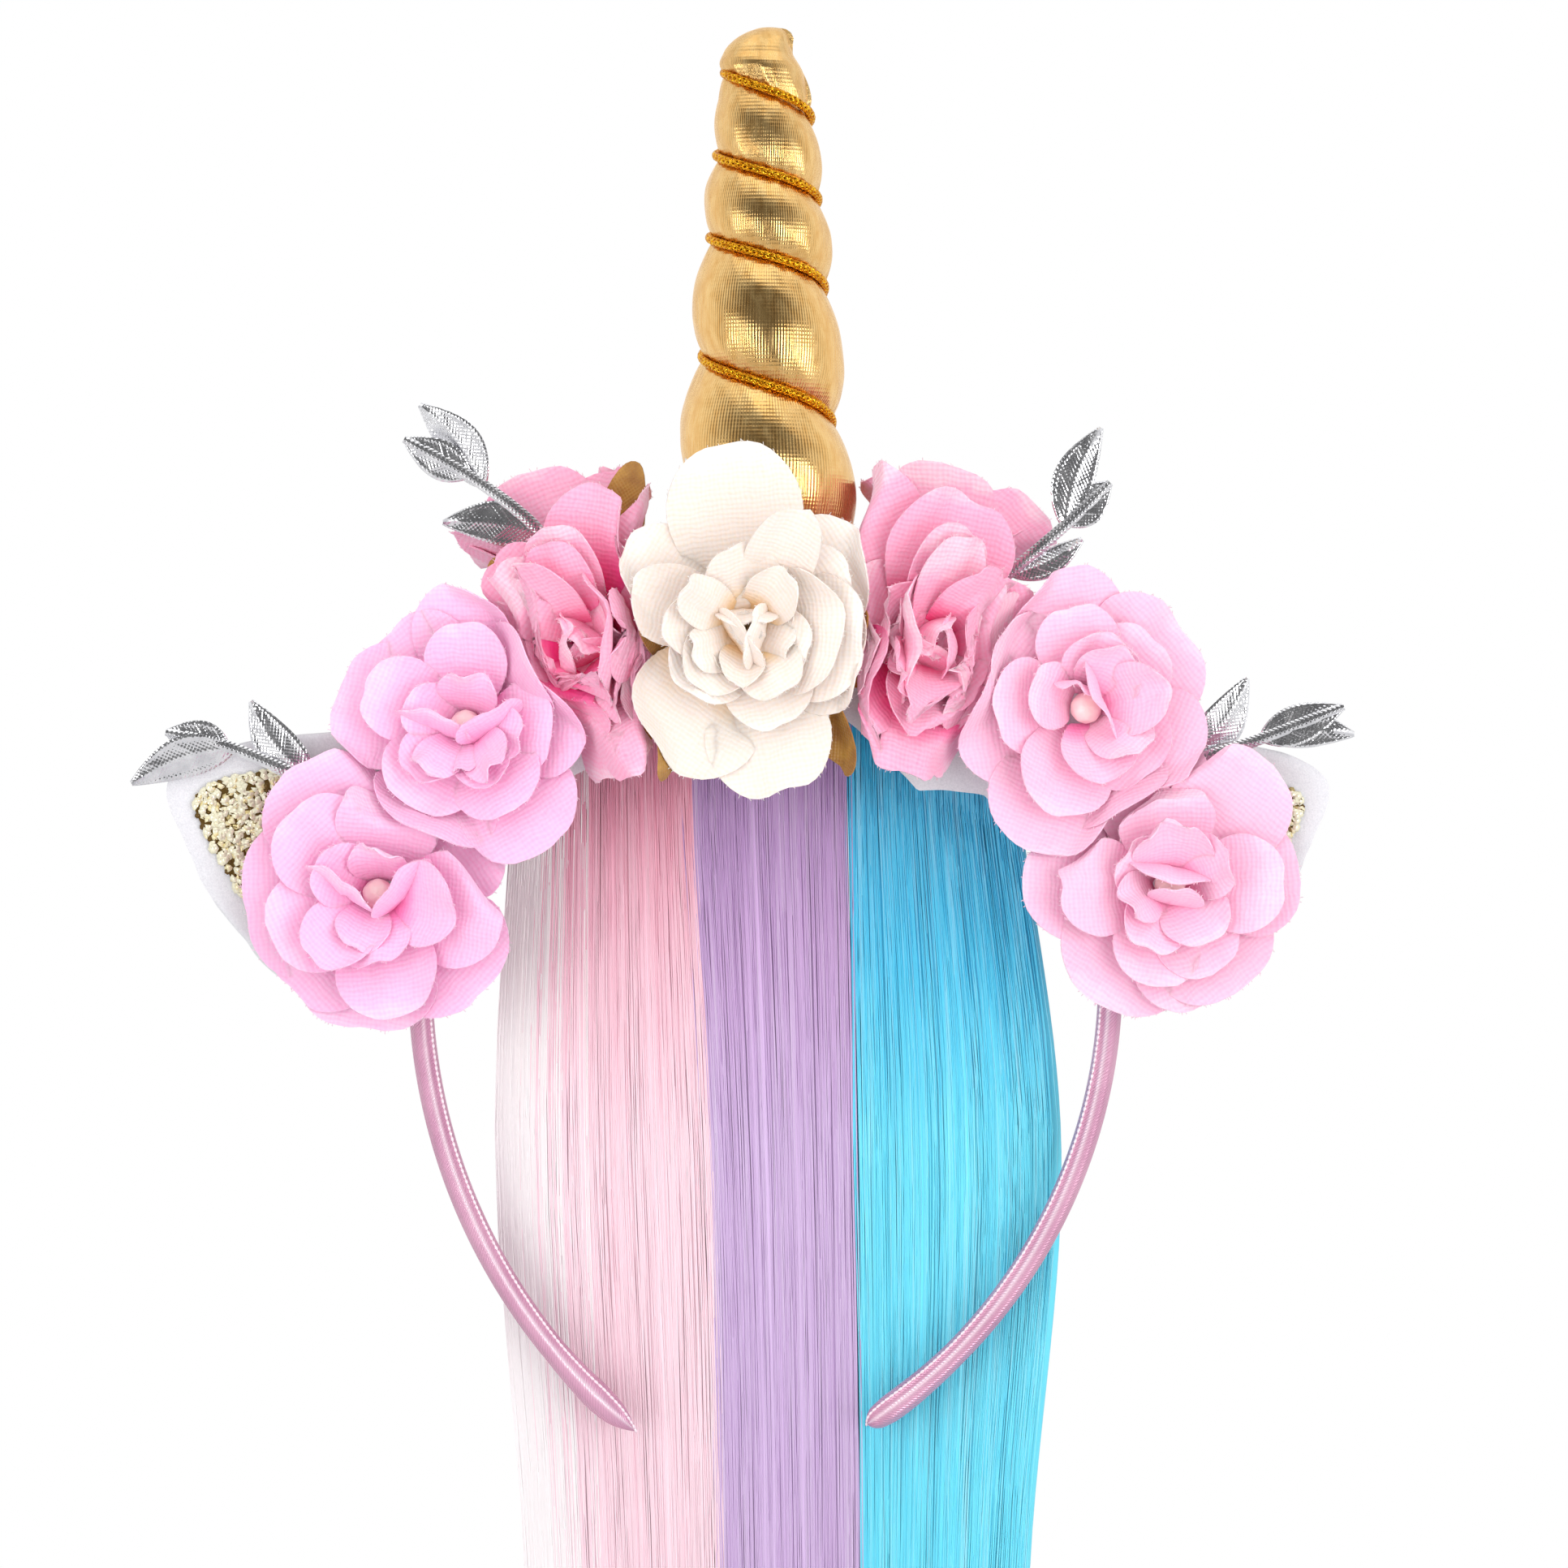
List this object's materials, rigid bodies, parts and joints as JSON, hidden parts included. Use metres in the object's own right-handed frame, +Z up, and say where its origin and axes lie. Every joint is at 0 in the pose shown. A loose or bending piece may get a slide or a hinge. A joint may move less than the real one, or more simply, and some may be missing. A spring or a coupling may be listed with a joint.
{
  "type": "unicorn headband",
  "caption": "Satin-wrapped alice band with a stuffed spiral gold horn, felt ears, fabric roses, silver leaf sprigs and straight coloured hair hanging behind.",
  "frame": {"origin": "underside of the band at its top, where it sits on the crown of the head", "axes": "+Z up along the horn, +X to the viewer's right seen from the front, -Y towards the viewer"},
  "size_m": [0.2388, 0.0651, 0.4184],
  "materials": {
    "satin_pink": "dusty-pink satin ribbon with a soft sheen",
    "felt_white": "matte white felt",
    "lame_gold": "gold foil-coated woven cloth",
    "cord_gold": "braided gold metallic thread",
    "glitter_gold": "coarse gold glitter on cloth",
    "leaf_silver": "silver foil-coated cloth with pressed veins",
    "petal_white": "cream woven cloth with frayed edges",
    "petal_rose": "deep-pink woven cloth paling to the edges",
    "petal_lilac": "lilac-pink woven cloth",
    "petal_blush": "blush-pink woven cloth",
    "calyx_bronze": "gold-brown satin",
    "bead_cream": "pale moulded plastic",
    "hair_white": "white synthetic hair",
    "hair_pink": "pink synthetic hair paling downwards",
    "hair_lilac": "lilac synthetic hair",
    "hair_blue": "sky-blue synthetic hair"
  },
  "bodies": {
    "root": {"headband": "satin_pink", "felt_backing": "felt_white", "horn": "lame_gold", "horn_cord": "cord_gold", "ear_left": "felt_white", "ear_glitter_left": "glitter_gold", "ear_right": "felt_white", "ear_glitter_right": "glitter_gold", "sprig_upper_left": "leaf_silver", "sprig_upper_right": "leaf_silver", "sprig_lower_left": "leaf_silver", "sprig_lower_right": "leaf_silver", "hair_white": "hair_white", "hair_pink": "hair_pink", "hair_lilac": "hair_lilac", "hair_blue": "hair_blue", "rose_white_calyx": "calyx_bronze", "rose_white_outer": "petal_white", "rose_white_middle": "petal_white", "rose_white_inner": "petal_white", "rose_mid_left_calyx": "calyx_bronze", "rose_mid_left_outer": "petal_rose", "rose_mid_left_middle": "petal_rose", "rose_mid_left_inner": "petal_rose", "rose_mid_right_calyx": "calyx_bronze", "rose_mid_right_outer": "petal_rose", "rose_mid_right_middle": "petal_rose", "rose_mid_right_inner": "petal_rose", "rose_upper_left_outer": "petal_lilac", "rose_upper_left_middle": "petal_lilac", "rose_upper_left_inner": "petal_lilac", "rose_upper_left_bead": "bead_cream", "rose_upper_right_outer": "petal_blush", "rose_upper_right_middle": "petal_blush", "rose_upper_right_inner": "petal_blush", "rose_upper_right_bead": "bead_cream", "rose_lower_left_outer": "petal_lilac", "rose_lower_left_middle": "petal_lilac", "rose_lower_left_inner": "petal_lilac", "rose_lower_left_bead": "bead_cream", "rose_lower_right_outer": "petal_blush", "rose_lower_right_middle": "petal_blush", "rose_lower_right_inner": "petal_blush", "rose_lower_right_bead": "bead_cream", "rose_back_left_outer": "petal_rose", "rose_back_left_inner": "petal_rose", "rose_back_right_outer": "petal_rose", "rose_back_right_inner": "petal_rose"}
  },
  "joints": []
}
